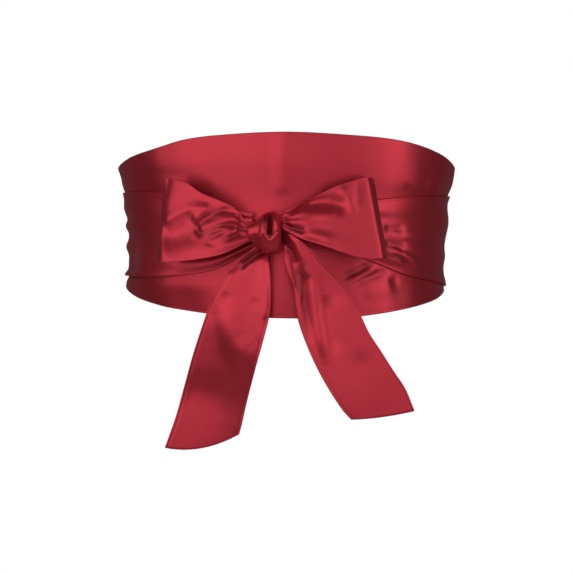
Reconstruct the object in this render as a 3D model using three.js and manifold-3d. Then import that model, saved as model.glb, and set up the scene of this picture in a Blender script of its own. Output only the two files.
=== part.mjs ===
// A satin waist sash as it is worn: a lens-shaped front panel, and two ties that cross at the back,
// come round over the panel and are tied in a bow at the front.
// Millimetres, +Z up. The origin is the middle of the waist, and the front faces -Y.
import * as THREE from "three";
import Module from "manifold-3d";

const { clamp, lerp, smoothstep } = THREE.MathUtils;
const wasm = await Module();
wasm.setup();

// Driving sizes
const waist = { halfBreadth: 121, halfDepth: 96 }; // the general figure that holds the sash open
const panelCut = { halfLength: 215, wall: 1.8 };
const tieCut = { wall: 1.4 };
const knotEnds = { left: -28.3, right: -4.3 }; // where the bow's two necks leave the knot, along X
const seamGap = 0.3; // between pieces that meet

// Two layers of deep red satin
const satin = { color: "#a8283a", roughness: 0.38, metalness: 0.15 };

// Curves through short tables

// Every column of a table at one place, on a smooth curve through its rows.
function tableAt(rows, place) {
  const last = rows.length - 1;
  let i = 0;
  while (i < last - 1 && rows[i + 1].at < place) i += 1;
  const [a, b] = [rows[i], rows[i + 1]];
  const [before, after] = [rows[Math.max(i - 1, 0)], rows[Math.min(i + 2, last)]];
  const span = b.at - a.at;
  const t = clamp((place - a.at) / span, 0, 1);
  const found = {};
  for (const column of Object.keys(a)) {
    const slopeA = ((b[column] - before[column]) / (b.at - before.at)) * span;
    const slopeB = ((after[column] - a[column]) / (after.at - a.at)) * span;
    const cubic = 2 * (a[column] - b[column]) + slopeA + slopeB;
    const square = 3 * (b[column] - a[column]) - 2 * slopeA - slopeB;
    found[column] = ((cubic * t + square) * t + slopeA) * t + a[column];
  }
  return found;
}

// A soft hump of height 1 that has died away two spreads from its middle
const hump = (offset, spread) => Math.exp(-((offset / spread) ** 2));

// How far a point lies from a path of straight stretches, all in one plane.
function distanceToPath(path, x, z) {
  let nearest = Infinity;
  for (let i = 0; i + 1 < path.length; i += 1) {
    const [ax, az] = path[i];
    const [dx, dz] = [path[i + 1][0] - ax, path[i + 1][1] - az];
    const share = clamp(((x - ax) * dx + (z - az) * dz) / (dx * dx + dz * dz), 0, 1);
    nearest = Math.min(nearest, Math.hypot(x - ax - share * dx, z - az - share * dz));
  }
  return nearest;
}

// The height of all creases at a point: ridges have a positive rise, and troughs a negative one.
function creaseHeight(creases, x, z) {
  let height = 0;
  for (const crease of creases) {
    height += crease.rise * hump(distanceToPath(crease.path, x, z), crease.spread);
  }
  return height;
}

// The waist, walked by arc length from the centre of the front towards +X
const angleSteps = 1440;
const arcLengths = [0];
for (let i = 1; i <= angleSteps; i += 1) {
  const angle = ((i - 0.5) / angleSteps) * 2 * Math.PI;
  const step = Math.hypot(waist.halfBreadth * Math.cos(angle), waist.halfDepth * Math.sin(angle));
  arcLengths.push(arcLengths[i - 1] + (step * 2 * Math.PI) / angleSteps);
}
const girth = arcLengths[angleSteps];

function waistAngle(along) {
  const turns = Math.floor(along / girth);
  const rest = along - turns * girth;
  let low = 0;
  let high = angleSteps;
  while (high - low > 1) {
    const middle = (low + high) >> 1;
    if (arcLengths[middle] <= rest) low = middle;
    else high = middle;
  }
  const share = (rest - arcLengths[low]) / (arcLengths[high] - arcLengths[low]);
  return (turns + (low + share) / angleSteps) * 2 * Math.PI;
}

// How far the band stands off the oval at its sides: nipped in under the ties, flared top and bottom.
// at: height.
const sideProfile = [
  { at: -72, left: 3.2, right: 1.2 },
  { at: -52, left: 3.1, right: 0.9 },
  { at: -45, left: 2.8, right: 0.2 },
  { at: -38, left: -0.3, right: -1.5 },
  { at: -28, left: -1.5, right: -2.1 },
  { at: -10, left: -1.3, right: -0.9 },
  { at: 5, left: -0.9, right: -0.3 },
  { at: 16, left: 0.2, right: 0.9 },
  { at: 24, left: 3.2, right: 4 },
  { at: 31, left: 5.6, right: 6.9 },
  { at: 37, left: 6.8, right: 8.1 },
  { at: 45, left: 9.4, right: 9.2 },
  { at: 60, left: 11, right: 10.5 },
  { at: 76, left: 11.5, right: 11 },
];
const frontFlare = { top: 2.5, bottom: 1.5 };

function bandFlare(angle, z) {
  const side = Math.sin(angle) ** 2;
  const profile = tableAt(sideProfile, z);
  const sides = Math.sin(angle) < 0 ? profile.left : profile.right;
  const front = frontFlare.top * smoothstep(z, 14, 52) + frontFlare.bottom * smoothstep(-z, 30, 60);
  return side * sides + (1 - side) * front;
}

// A point on the figure, moved straight out from it.
function onFigure(along, z, out) {
  const angle = waistAngle(along);
  const normal = new THREE.Vector3(
    Math.sin(angle) / waist.halfBreadth,
    -Math.cos(angle) / waist.halfDepth,
    0,
  ).normalize();
  const point = new THREE.Vector3(
    waist.halfBreadth * Math.sin(angle),
    -waist.halfDepth * Math.cos(angle),
    z,
  );
  return { point: point.addScaledVector(normal, bandFlare(angle, z) + out), normal };
}

// Walls of cloth

// Moves the rim of a grid of points outwards, away from the next points in.
function pushRim(points, along, across, grow) {
  const push = (edge, next) => {
    const away = edge.clone().sub(next).normalize();
    edge.addScaledVector(away, grow);
  };
  for (const row of points) {
    push(row[0].point, row[1].point);
    push(row[across].point, row[across - 1].point);
  }
  for (let j = 0; j <= across; j += 1) {
    push(points[0][j].point, points[1][j].point);
    push(points[along][j].point, points[along - 1][j].point);
  }
}

// A closed wall from a face: face(u, v) gives a point and the way out, for u and v from 0 to 1.
// grow makes the same wall larger all round, to cut its seat in another piece.
function clothWall(grid, face, wall, grow = 0) {
  const { along, across } = grid;
  const points = [];
  for (let i = 0; i <= along; i += 1) {
    points.push([]);
    for (let j = 0; j <= across; j += 1) points[i].push(face(i / along, j / across));
  }
  if (grow > 0) pushRim(points, along, across, grow);
  const rowLength = across + 1;
  const layer = (along + 1) * rowLength;
  const positions = new Float32Array(layer * 2 * 3);
  points.flat().forEach(({ point, normal }, k) => {
    point.clone().addScaledVector(normal, -grow).toArray(positions, k * 3);
    point.clone().addScaledVector(normal, wall + grow).toArray(positions, (layer + k) * 3);
  });
  const index = [];
  const quad = (a, b, c, d) => index.push(a, b, c, a, c, d);
  for (let i = 0; i < along; i += 1) {
    for (let j = 0; j < across; j += 1) {
      const k = i * rowLength + j;
      quad(k, k + 1, k + rowLength + 1, k + rowLength);
      quad(layer + k, layer + k + rowLength, layer + k + rowLength + 1, layer + k + 1);
    }
  }
  for (let i = 0; i < along; i += 1) {
    const [low, high] = [i * rowLength, i * rowLength + across];
    quad(low, low + rowLength, layer + low + rowLength, layer + low);
    quad(high + rowLength, high, layer + high, layer + high + rowLength);
  }
  for (let j = 0; j < across; j += 1) {
    const [start, end] = [j, along * rowLength + j];
    quad(start + 1, start, layer + start, layer + start + 1);
    quad(end, end + 1, layer + end + 1, layer + end);
  }
  return facingOut(positions, index);
}

// An indexed geometry whose faces point out, whichever way round its face was walked.
function facingOut(positions, index) {
  const corner = (i) => new THREE.Vector3().fromArray(positions, index[i] * 3);
  let volume = 0;
  for (let i = 0; i < index.length; i += 3) volume += corner(i).dot(corner(i + 1).cross(corner(i + 2)));
  if (volume < 0) index.reverse();
  const geometry = new THREE.BufferGeometry();
  geometry.setAttribute("position", new THREE.BufferAttribute(positions, 3));
  geometry.setIndex(index);
  return geometry;
}

function namedMesh(name, geometry) {
  geometry.computeVertexNormals();
  const mesh = new THREE.Mesh(geometry, new THREE.MeshStandardMaterial(satin));
  mesh.name = name;
  return mesh;
}

// The front panel

// Its upper and lower edge, by arc length from the centre of the front
const panelOutline = [
  { at: -215, top: 27.5, bottom: -36 },
  { at: -170, top: 41.5, bottom: -46.5 },
  { at: -130, top: 50.5, bottom: -54.8 },
  { at: -100, top: 57, bottom: -60.4 },
  { at: -75, top: 62.8, bottom: -63.5 },
  { at: -50, top: 65.5, bottom: -65.8 },
  { at: 0, top: 67.6, bottom: -68 },
  { at: 50, top: 65.4, bottom: -67.3 },
  { at: 75, top: 63.6, bottom: -65 },
  { at: 100, top: 59.8, bottom: -61.8 },
  { at: 130, top: 52.3, bottom: -57.3 },
  { at: 170, top: 41, bottom: -50 },
  { at: 215, top: 26, bottom: -41 },
];

// Drag lines where the ties pull at the panel, in arc length and height
const panelCreases = [
  { path: [[-3.6, 30], [-3.6, 72]], spread: 6, rise: 0.8 }, // pressed crease down the centre
  { path: [[50, -42], [66, -37]], spread: 6, rise: -1.2 },
  { path: [[56, -50], [84, -44]], spread: 6, rise: 1.2 },
  { path: [[80, -18.5], [95, -24], [107, -32]], spread: 5, rise: 1.4 },
  { path: [[112, 27], [128, 31]], spread: 6, rise: 1.2 },
  { path: [[-128, 44], [-112, 60]], spread: 10, rise: 0.9 },
  { path: [[-116, -33], [-64, -33]], spread: 19, rise: 7 }, // swell under the left loop
  { path: [[-118, -71], [-62, -74]], spread: 22, rise: -3 },
];

function panelFace(u, v) {
  const along = lerp(-panelCut.halfLength, panelCut.halfLength, u);
  const outline = tableAt(panelOutline, along);
  const z = lerp(outline.bottom, outline.top, v);
  return onFigure(along, z, creaseHeight(panelCreases, along, z));
}

// The ties' way round the waist

// at: arc length from the tie's own end of the panel, round the back, to the knot.
// middle, half: height and half width of the gathered tie. out: how far it lies off the figure.
// gather: height of its pleats.
const leftWrap = [
  { at: 215.3, middle: -7.5, half: 33.5, out: 0, gather: 0 },
  { at: 240, middle: -3, half: 30, out: 0.1, gather: 1 },
  { at: 275, middle: 13, half: 21, out: 0.2, gather: 2.2 },
  { at: 305, middle: 12, half: 19, out: 0.2, gather: 2.4 },
  { at: 342, middle: -5, half: 18, out: 0.2, gather: 2.4 },
  { at: 388, middle: -24, half: 17, out: 0.3, gather: 2.2 },
  { at: 416, middle: -26, half: 18, out: 4.6, gather: 2 },
  { at: 442, middle: -19, half: 24, out: 4.6, gather: 1.6 },
  { at: 472, middle: -11, half: 30, out: 2.4, gather: 0.8 },
  { at: 514, middle: -7.5, half: 32, out: 2.6, gather: 0 },
  { at: 560, middle: -7, half: 32, out: 2.6, gather: 0 },
  { at: 600, middle: -7.5, half: 30, out: 2.6, gather: 0.4 },
  { at: 630, middle: -8.5, half: 25, out: 2.6, gather: 1.2 },
  { at: 646, middle: -8, half: 17.5, out: 2.6, gather: 1.8 },
  { at: 666.5, middle: -4.5, half: 9, out: 2.6, gather: 1.8 },
];
const rightWrap = [
  { at: 215.3, middle: -4.3, half: 31.7, out: 0, gather: 0 },
  { at: 240, middle: 8, half: 29, out: 0.1, gather: 1 },
  { at: 268, middle: 21, half: 18, out: 0.2, gather: 2 },
  { at: 294, middle: 19, half: 17, out: 4.8, gather: 2.2 },
  { at: 342, middle: -5, half: 18, out: 5, gather: 2.2 },
  { at: 388, middle: -25, half: 19, out: 5, gather: 2.2 },
  { at: 416, middle: -26, half: 23, out: 5, gather: 1.8 },
  { at: 442, middle: -20, half: 28, out: 4.6, gather: 1.2 },
  { at: 472, middle: -16, half: 32, out: 2.5, gather: 0.5 },
  { at: 514, middle: -13, half: 35, out: 2.6, gather: 0 },
  { at: 560, middle: -10.3, half: 31.8, out: 2.6, gather: 0 },
  { at: 592, middle: -8, half: 28.5, out: 2.6, gather: 0.5 },
  { at: 622, middle: -4.2, half: 22, out: 2.6, gather: 1.4 },
  { at: 652, middle: -2.8, half: 14.5, out: 2.6, gather: 2 },
  { at: 697.5, middle: -4.5, half: 9, out: 2.6, gather: 1.8 },
];

// Where the pleats of a gathered tie lie across its width, from -1 to 1
const wrapPleats = [
  { place: -0.74, spread: 0.15, rise: 1 },
  { place: -0.28, spread: 0.14, rise: 0.8 },
  { place: 0.16, spread: 0.15, rise: 1 },
  { place: 0.66, spread: 0.17, rise: 0.9 },
];

// Folds that lie along the tie at the sides and in front. across: from -1 to 1 of its width.
const leftFolds = [
  { from: 430, to: 575, across: 0.62, spread: 0.22, rise: 3.2 },
  { from: 470, to: 560, across: 0.2, spread: 0.1, rise: 3 },
  { from: 480, to: 545, across: -0.3, spread: 0.13, rise: 2.8 },
  { from: 440, to: 590, across: -0.97, spread: 0.09, rise: 2.4 },
];
const rightFolds = [
  { from: 440, to: 560, across: 0.42, spread: 0.3, rise: 2.6 },
  { from: 470, to: 590, across: -0.35, spread: 0.16, rise: 1.4 },
  { from: 555, to: 610, across: 0.02, spread: 0.12, rise: 2 },
  { from: 575, to: 655, across: -0.62, spread: 0.14, rise: 1.8 },
];
const foldFade = 26; // arc length over which a fold dies away at its ends

function wrapHeight(folds, row, along, across) {
  let height = 0;
  for (const pleat of wrapPleats) {
    height += row.gather * pleat.rise * hump(across - pleat.place, pleat.spread);
  }
  for (const fold of folds) {
    const start = smoothstep(along, fold.from - foldFade, fold.from + foldFade);
    const end = 1 - smoothstep(along, fold.to - foldFade, fold.to + foldFade);
    height += fold.rise * start * end * hump(across - fold.across, fold.spread);
  }
  return height;
}

// side is 1 for the tie that starts at the panel's right end and comes round to the left of the bow.
// Past the panel's other end the tie lies on the panel, and follows its creases.
function wrapFace(rows, folds, side) {
  const [first, last] = [rows[0].at, rows[rows.length - 1].at];
  return (u, v) => {
    const along = lerp(first, last, u);
    const across = lerp(-1, 1, v);
    const row = tableAt(rows, along);
    const z = row.middle + across * row.half;
    const height = wrapHeight(folds, row, along, across);
    const under = creaseHeight(panelCreases, side * (along - girth), z);
    return onFigure(side * along, z, row.out + height + under);
  };
}

// The bow's loops

// A loop's strip leaves the knot in front, turns at the outer fold and comes back behind.
// reach: how far out from the knot. depth: how far in front of the waist's middle.
// rise, half: height and half width of the strip. lean: how much further out its lower edge is.
const leftLoop = [
  { at: 0, reach: -4, depth: 111, rise: -5, half: 6, lean: 0, pleat: 0.4 },
  { at: 5, reach: 1, depth: 112, rise: -5, half: 7.2, lean: 0, pleat: 0.7 },
  { at: 13.5, reach: 9, depth: 114.2, rise: -2.5, half: 14.4, lean: 0, pleat: 1 },
  { at: 23.6, reach: 19, depth: 115, rise: -2.1, half: 19.3, lean: 0.2, pleat: 0.8 },
  { at: 38.3, reach: 33.6, depth: 113.5, rise: -0.7, half: 23.8, lean: 1, pleat: 0.4 },
  { at: 51.3, reach: 46, depth: 109.8, rise: 2.2, half: 28.4, lean: 2, pleat: 0.1 },
  { at: 64.8, reach: 58, depth: 103.6, rise: 3.2, half: 30.2, lean: 3, pleat: 0 },
  { at: 72, reach: 62.5, depth: 97, rise: 3.6, half: 30.5, lean: 3.3, pleat: 0 },
  { at: 78, reach: 60.5, depth: 91.2, rise: 3.6, half: 30.5, lean: 3.2, pleat: 0 },
  { at: 91.6, reach: 47, depth: 90.3, rise: 1.6, half: 27.4, lean: 2.4, pleat: 0.1 },
  { at: 109, reach: 31, depth: 97, rise: -1.2, half: 20.8, lean: 1, pleat: 0.4 },
  { at: 125.1, reach: 16, depth: 102.8, rise: -0.2, half: 13.6, lean: 0, pleat: 0.7 },
  { at: 137.5, reach: 4, depth: 105.6, rise: 0.8, half: 9.4, lean: 0, pleat: 0.7 },
  { at: 145.5, reach: -4, depth: 106, rise: 0.5, half: 8, lean: 0, pleat: 0.4 },
];
const rightLoop = [
  { at: 0, reach: -4, depth: 111, rise: 2.5, half: 5, lean: 0, pleat: 0.4 },
  { at: 5, reach: 1, depth: 112.2, rise: 3, half: 5.8, lean: 0, pleat: 0.7 },
  { at: 11.2, reach: 7, depth: 113.8, rise: 2.6, half: 8.4, lean: 0, pleat: 1 },
  { at: 20.3, reach: 16, depth: 115, rise: 2.8, half: 13.1, lean: 0.3, pleat: 0.8 },
  { at: 34, reach: 29.7, depth: 115.8, rise: 3.7, half: 18.6, lean: 1.2, pleat: 0.5 },
  { at: 45.5, reach: 41.2, depth: 115.8, rise: 4.2, half: 23.6, lean: 2, pleat: 0.2 },
  { at: 56.1, reach: 51.7, depth: 114.6, rise: 4, half: 27, lean: 3, pleat: 0.1 },
  { at: 66.3, reach: 61.6, depth: 112, rise: 4.7, half: 29.2, lean: 4, pleat: 0 },
  { at: 71.8, reach: 66.8, depth: 110.2, rise: 5.1, half: 29.2, lean: 4.8, pleat: 0 },
  { at: 73.4, reach: 68.1, depth: 109.3, rise: 5.2, half: 29.2, lean: 5, pleat: 0 },
  { at: 75, reach: 68.9, depth: 107.9, rise: 5.2, half: 29.2, lean: 5, pleat: 0 },
  { at: 78.6, reach: 70.2, depth: 104.5, rise: 5.2, half: 29.2, lean: 5, pleat: 0 },
  { at: 83.7, reach: 71.5, depth: 99.6, rise: 5.2, half: 29.2, lean: 5, pleat: 0 },
  { at: 86.6, reach: 71, depth: 96.2, rise: 5.1, half: 29.1, lean: 4.9, pleat: 0 },
  { at: 90.1, reach: 69, depth: 93.4, rise: 5, half: 29, lean: 4.6, pleat: 0 },
  { at: 109.9, reach: 50, depth: 98.6, rise: 2.6, half: 25.8, lean: 3, pleat: 0.1 },
  { at: 130.3, reach: 30, depth: 102.6, rise: -0.6, half: 18.2, lean: 1, pleat: 0.4 },
  { at: 145.4, reach: 15, depth: 104.2, rise: -1, half: 12, lean: 0, pleat: 0.6 },
  { at: 158.4, reach: 2, depth: 105.3, rise: 1, half: 7.2, lean: 0, pleat: 0.6 },
  { at: 164.4, reach: -4, depth: 105.5, rise: 1.8, half: 6, lean: 0, pleat: 0.4 },
];

// Pleats that fan out from the neck of a loop. place: across the strip, from -1 to 1.
const neckPleats = [
  { place: -0.7, spread: 0.22, rise: 1.2 },
  { place: -0.1, spread: 0.2, rise: 0.8 },
  { place: 0.45, spread: 0.18, rise: 0.9 },
  { place: 0.95, spread: 0.14, rise: 1 },
];

// Puffs, grooves and hollows in the front of each loop, in X and Z
const leftLoopCreases = [
  { path: [[-36, 3], [-51, 2], [-60, -1]], spread: 4.4, rise: 2.2 },
  { path: [[-42, 11], [-52, 8.5], [-59, 4], [-64, -1], [-64, -5], [-60, -6.5]], spread: 2.4, rise: -1.6 },
  { path: [[-36, -3], [-45, -7.5], [-52, -11.5]], spread: 4, rise: 1.6 },
  { path: [[-90, -9.5], [-80.5, -6.5], [-71.5, -3], [-65, 0.5]], spread: 8.5, rise: -7 },
];
const rightLoopCreases = [
  { path: [[2.5, 10], [12, 17.5], [18, 20.5]], spread: 3, rise: 1.6 },
  { path: [[16, 15], [24, 14.5], [34, 13.5], [41, 12]], spread: 4.4, rise: -3.4 },
  { path: [[2, 1], [8, 3.5], [21.5, 7], [32, 7]], spread: 4, rise: 2.4 },
  { path: [[4, -2.5], [12, -5]], spread: 3.4, rise: -2.6 },
  { path: [[41, 24], [44, 18.5], [47.5, 11.5]], spread: 4, rise: 1.2 },
];
const creaseReach = { start: 3, full: 12, fade: 0.45, gone: 0.55 }; // creases lie in the front half only
const loopTip = { slope: 0.22, level: -5 }; // the front of each loop leans back above this height

function loopFace(rows, creases, rootX, side) {
  const total = rows[rows.length - 1].at;
  return (u, v) => {
    const across = lerp(-1, 1, v);
    const at = u * total;
    const row = tableAt(rows, at);
    const [ahead, behind] = [tableAt(rows, at + 0.5), tableAt(rows, at - 0.5)];
    const tangent = new THREE.Vector2(ahead.reach - behind.reach, ahead.depth - behind.depth).normalize();
    const x = rootX + side * (row.reach - across * row.lean);
    const z = row.rise + across * row.half;
    let height = 0;
    for (const pleat of neckPleats) {
      height += row.pleat * pleat.rise * hump(across - pleat.place, pleat.spread);
    }
    const inFront = 1 - smoothstep(u, creaseReach.fade, creaseReach.gone);
    const pastNeck = smoothstep(at, creaseReach.start, creaseReach.full);
    height += inFront * pastNeck * creaseHeight(creases, x, z);
    const normal = new THREE.Vector3(-side * tangent.y, -tangent.x, 0);
    const tipped = inFront * loopTip.slope * (z - loopTip.level);
    const point = new THREE.Vector3(x, tipped - row.depth, z).addScaledVector(normal, height);
    return { point, normal };
  };
}

// The tails

// Rows run from inside the knot to the slanting end. The tail's two edges are points in X and Z.
// twist: how far its right edge lies in front of depth, and its left edge behind it.
const leftTail = [
  { at: 0, leftX: -19.5, leftZ: -9, rightX: -12, rightZ: -14.5, depth: 107.5, twist: 0, hollow: 0.3 },
  { at: 8, leftX: -22.5, leftZ: -15, rightX: -13.2, rightZ: -20.5, depth: 108.8, twist: 0.8, hollow: 0.8 },
  { at: 17, leftX: -28.6, leftZ: -20.4, rightX: -12.8, rightZ: -26.6, depth: 110.5, twist: 1.5, hollow: 1.4 },
  { at: 26, leftX: -35.3, leftZ: -26.6, rightX: -11.9, rightZ: -33.8, depth: 111.4, twist: 2, hollow: 1.5 },
  { at: 38, leftX: -42.5, leftZ: -34.6, rightX: -11.2, rightZ: -43.9, depth: 111.8, twist: 2, hollow: 1 },
  { at: 50, leftX: -49, leftZ: -45.5, rightX: -11.2, rightZ: -54.8, depth: 111.9, twist: 1.8, hollow: 0.6 },
  { at: 62, leftX: -54.5, leftZ: -54.9, rightX: -12.3, rightZ: -65.7, depth: 111.6, twist: 1.6, hollow: 0.2 },
  { at: 80, leftX: -60, leftZ: -70.1, rightX: -16.3, rightZ: -81.7, depth: 110.4, twist: 2, hollow: 0 },
  { at: 105, leftX: -67.7, leftZ: -93.4, rightX: -22.8, rightZ: -105, depth: 107.6, twist: 2.2, hollow: 0 },
  { at: 130, leftX: -74.3, leftZ: -116.7, rightX: -28.7, rightZ: -128.4, depth: 104.6, twist: 1, hollow: 0 },
  { at: 152, leftX: -80.9, leftZ: -140, rightX: -32.7, rightZ: -146, depth: 102.8, twist: 0.6, hollow: 0 },
  { at: 168, leftX: -88.9, leftZ: -162.5, rightX: -34.5, rightZ: -152.4, depth: 102, twist: 0.5, hollow: 0 },
];
const rightTail = [
  { at: 0, leftX: -9, leftZ: -14, rightX: -9, rightZ: -5, depth: 108, twist: 0, hollow: 0.2 },
  { at: 6, leftX: -3.6, leftZ: -16, rightX: -3.8, rightZ: -4.5, depth: 108.6, twist: 0.4, hollow: 0.6 },
  { at: 12, leftX: -1.6, leftZ: -20.2, rightX: 2, rightZ: -6.4, depth: 110, twist: 0.9, hollow: 1.1 },
  { at: 20, leftX: -0.6, leftZ: -26.6, rightX: 8.3, rightZ: -10, depth: 111.2, twist: 1.4, hollow: 1.5 },
  { at: 30, leftX: 1.4, leftZ: -33.8, rightX: 17.6, rightZ: -17.8, depth: 111.6, twist: 1.6, hollow: 1.4 },
  { at: 42, leftX: 4.3, leftZ: -41.8, rightX: 28, rightZ: -29.3, depth: 111.7, twist: 1.6, hollow: 1 },
  { at: 52, leftX: 6.1, leftZ: -50.5, rightX: 37.2, rightZ: -38.6, depth: 111.8, twist: 1.6, hollow: 0.7 },
  { at: 63, leftX: 6.9, leftZ: -59.9, rightX: 44.4, rightZ: -48, depth: 112, twist: 1.6, hollow: 0.5 },
  { at: 74, leftX: 8.7, leftZ: -70.1, rightX: 50.9, rightZ: -59.3, depth: 112.4, twist: 1.6, hollow: 0.2 },
  { at: 91, leftX: 14.1, leftZ: -85.5, rightX: 59, rightZ: -76.7, depth: 113.1, twist: 1.6, hollow: 0 },
  { at: 109, leftX: 21.4, leftZ: -102, rightX: 68.4, rightZ: -91.2, depth: 114, twist: 1.6, hollow: 0 },
  { at: 128, leftX: 30.8, leftZ: -118.9, rightX: 77.2, rightZ: -105.1, depth: 115, twist: 1.6, hollow: 0 },
  { at: 144, leftX: 40.3, leftZ: -133.2, rightX: 85.6, rightZ: -117.9, depth: 115.8, twist: 1.6, hollow: 0 },
  { at: 154, leftX: 46.5, leftZ: -140, rightX: 92, rightZ: -133.4, depth: 116.2, twist: 1.6, hollow: 0 },
];

// Each tail is a trough between two bands near the knot, then opens out flat.
// endBow: how far its end bulges past the straight line between its corners.
const leftHollow = { place: 0.25, spread: 0.5, endBow: 5.2 };
const rightHollow = { place: -0.3, spread: 0.42, endBow: 1.2 };
const leftTailCreases = [
  { path: [[-13, -18.5], [-27.5, -26], [-33.5, -32]], spread: 3.4, rise: -2.2 },
  { path: [[-58, -54], [-50, -63], [-39.5, -82], [-27, -106], [-22, -122]], spread: 9, rise: 2.2 },
  { path: [[-66, -70], [-53.5, -92], [-41, -116], [-34, -134]], spread: 9, rise: -2.2 },
];
const rightTailCreases = [
  { path: [[7, -20], [11, -35], [9, -50]], spread: 3.4, rise: 1.4 },
  { path: [[13, -28], [13.5, -40], [15.5, -57], [18, -78]], spread: 3.8, rise: -2.8 },
  { path: [[18, -37], [21, -59.5], [23.5, -77], [27, -92]], spread: 4, rise: 1.8 },
  { path: [[36, -50], [48, -78], [58, -98]], spread: 7, rise: 0.9 },
];

function tailFace(rows, hollow, creases) {
  const total = rows[rows.length - 1].at;
  const normal = new THREE.Vector3(0, -1, 0);
  return (u, v) => {
    const row = tableAt(rows, u * total);
    const across = lerp(-1, 1, v);
    const bow = hollow.endBow * smoothstep(u, 0.75, 1) * (1 - across * across);
    const x = lerp(row.leftX, row.rightX, v);
    const z = lerp(row.leftZ, row.rightZ, v) - bow;
    const sunk = row.hollow * hump(across - hollow.place, hollow.spread);
    const depth = row.depth + row.twist * across - sunk + creaseHeight(creases, x, z);
    return { point: new THREE.Vector3(x, -depth, z), normal };
  };
}

// The knot

// Sections across the knot. at: X. middle, half: height. deep: half its depth.
const knotSections = [
  { at: -28.2, middle: -4.6, half: 3.6, deep: 3 },
  { at: -27, middle: -5.2, half: 5.2, deep: 5 },
  { at: -22, middle: -6.2, half: 7.4, deep: 7.6 },
  { at: -16.5, middle: -5.8, half: 11.8, deep: 10 },
  { at: -13, middle: -5.6, half: 14.8, deep: 11 },
  { at: -9, middle: -5.4, half: 15.4, deep: 11 },
  { at: -6, middle: -6.6, half: 13.6, deep: 9.6 },
  { at: -4.4, middle: -7, half: 10.5, deep: 7 },
];
const knotDepth = 112.5; // how far the knot's middle lies in front of the waist's

// Folds of the turn of cloth round the knot, in X and Z of its front
const knotFolds = [
  { path: [[-16.4, 6], [-16.6, -2.3], [-17.8, -9.3]], spread: 1.4, rise: 1.3 },
  { path: [[-15.2, -1], [-15.7, -6], [-14.2, -9.5], [-11.3, -11.2], [-6, -6.5]], spread: 1.5, rise: 1.4 },
  { path: [[-10.2, 9.4], [-11.5, 1], [-12, -6.5]], spread: 2.3, rise: -3.4 },
];

function knotLump(around, lengthwise) {
  const [first, last] = [knotSections[0].at, knotSections[knotSections.length - 1].at];
  const positions = [];
  const index = [];
  for (let i = 0; i <= lengthwise; i += 1) {
    const x = lerp(first, last, i / lengthwise);
    const section = tableAt(knotSections, x);
    for (let j = 0; j < around; j += 1) {
      const angle = (j / around) * 2 * Math.PI;
      const z = section.middle + section.half * Math.sin(angle);
      const front = Math.max(Math.cos(angle), 0);
      const fold = creaseHeight(knotFolds, x, z) * Math.sqrt(front);
      positions.push(x, -(knotDepth + section.deep * Math.cos(angle) + fold), z);
    }
  }
  const ends = [0, lengthwise].map((i) => {
    const section = tableAt(knotSections, lerp(first, last, i / lengthwise));
    positions.push(lerp(first, last, i / lengthwise), -knotDepth, section.middle);
    return positions.length / 3 - 1;
  });
  for (let j = 0; j < around; j += 1) {
    const next = (j + 1) % around;
    for (let i = 0; i < lengthwise; i += 1) {
      const [a, b] = [i * around + j, i * around + next];
      index.push(a, b, b + around, a, b + around, a + around);
    }
    index.push(ends[0], next, j);
    index.push(ends[1], lengthwise * around + j, lengthwise * around + next);
  }
  return facingOut(new Float32Array(positions), index);
}

// Cutting one piece's seat in another

function toSolid(geometry) {
  return new wasm.Manifold(new wasm.Mesh({
    numProp: 3,
    vertProperties: geometry.getAttribute("position").array,
    triVerts: new Uint32Array(geometry.getIndex().array),
  }));
}

function fromSolid(solid) {
  const mesh = solid.getMesh();
  const geometry = new THREE.BufferGeometry();
  geometry.setAttribute("position", new THREE.BufferAttribute(mesh.vertProperties, 3));
  geometry.setIndex(new THREE.BufferAttribute(mesh.triVerts, 1));
  return geometry;
}

// The sash

const leftWrapFace = wrapFace(leftWrap, leftFolds, 1);
const rightWrapFace = wrapFace(rightWrap, rightFolds, -1);
const leftLoopFace = loopFace(leftLoop, leftLoopCreases, knotEnds.left, -1);
const rightLoopFace = loopFace(rightLoop, rightLoopCreases, knotEnds.right, 1);
const leftTailFace = tailFace(leftTail, leftHollow, leftTailCreases);
const rightTailFace = tailFace(rightTail, rightHollow, rightTailCreases);

const tiePieces = [
  { name: "tie_wrap_left", grid: { along: 58, across: 11 }, face: leftWrapFace },
  { name: "tie_wrap_right", grid: { along: 58, across: 11 }, face: rightWrapFace },
  { name: "bow_loop_left", grid: { along: 30, across: 12 }, face: leftLoopFace },
  { name: "bow_loop_right", grid: { along: 30, across: 12 }, face: rightLoopFace },
  { name: "tail_left", grid: { along: 22, across: 9 }, face: leftTailFace },
  { name: "tail_right", grid: { along: 22, across: 9 }, face: rightTailFace },
];

function knotGeometry() {
  let solid = toSolid(knotLump(26, 18));
  for (const { grid, face } of tiePieces) {
    solid = solid.subtract(toSolid(clothWall(grid, face, tieCut.wall, seamGap)));
  }
  const parts = solid.decompose().sort((a, b) => b.volume() - a.volume());
  return fromSolid(parts[0]);
}

const sash = new THREE.Group();
sash.add(namedMesh("front_panel", clothWall({ along: 72, across: 10 }, panelFace, panelCut.wall)));
for (const { name, grid, face } of tiePieces) sash.add(namedMesh(name, clothWall(grid, face, tieCut.wall)));
sash.add(namedMesh("bow_knot", knotGeometry()));

export default sash;
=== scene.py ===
# A satin waist sash as it is worn: front panel, two ties round the waist, and a bow in front.
# Sizes in the tables are millimetres in the CAD's frame: +Z up, the front faces -Y.
import math

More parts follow.
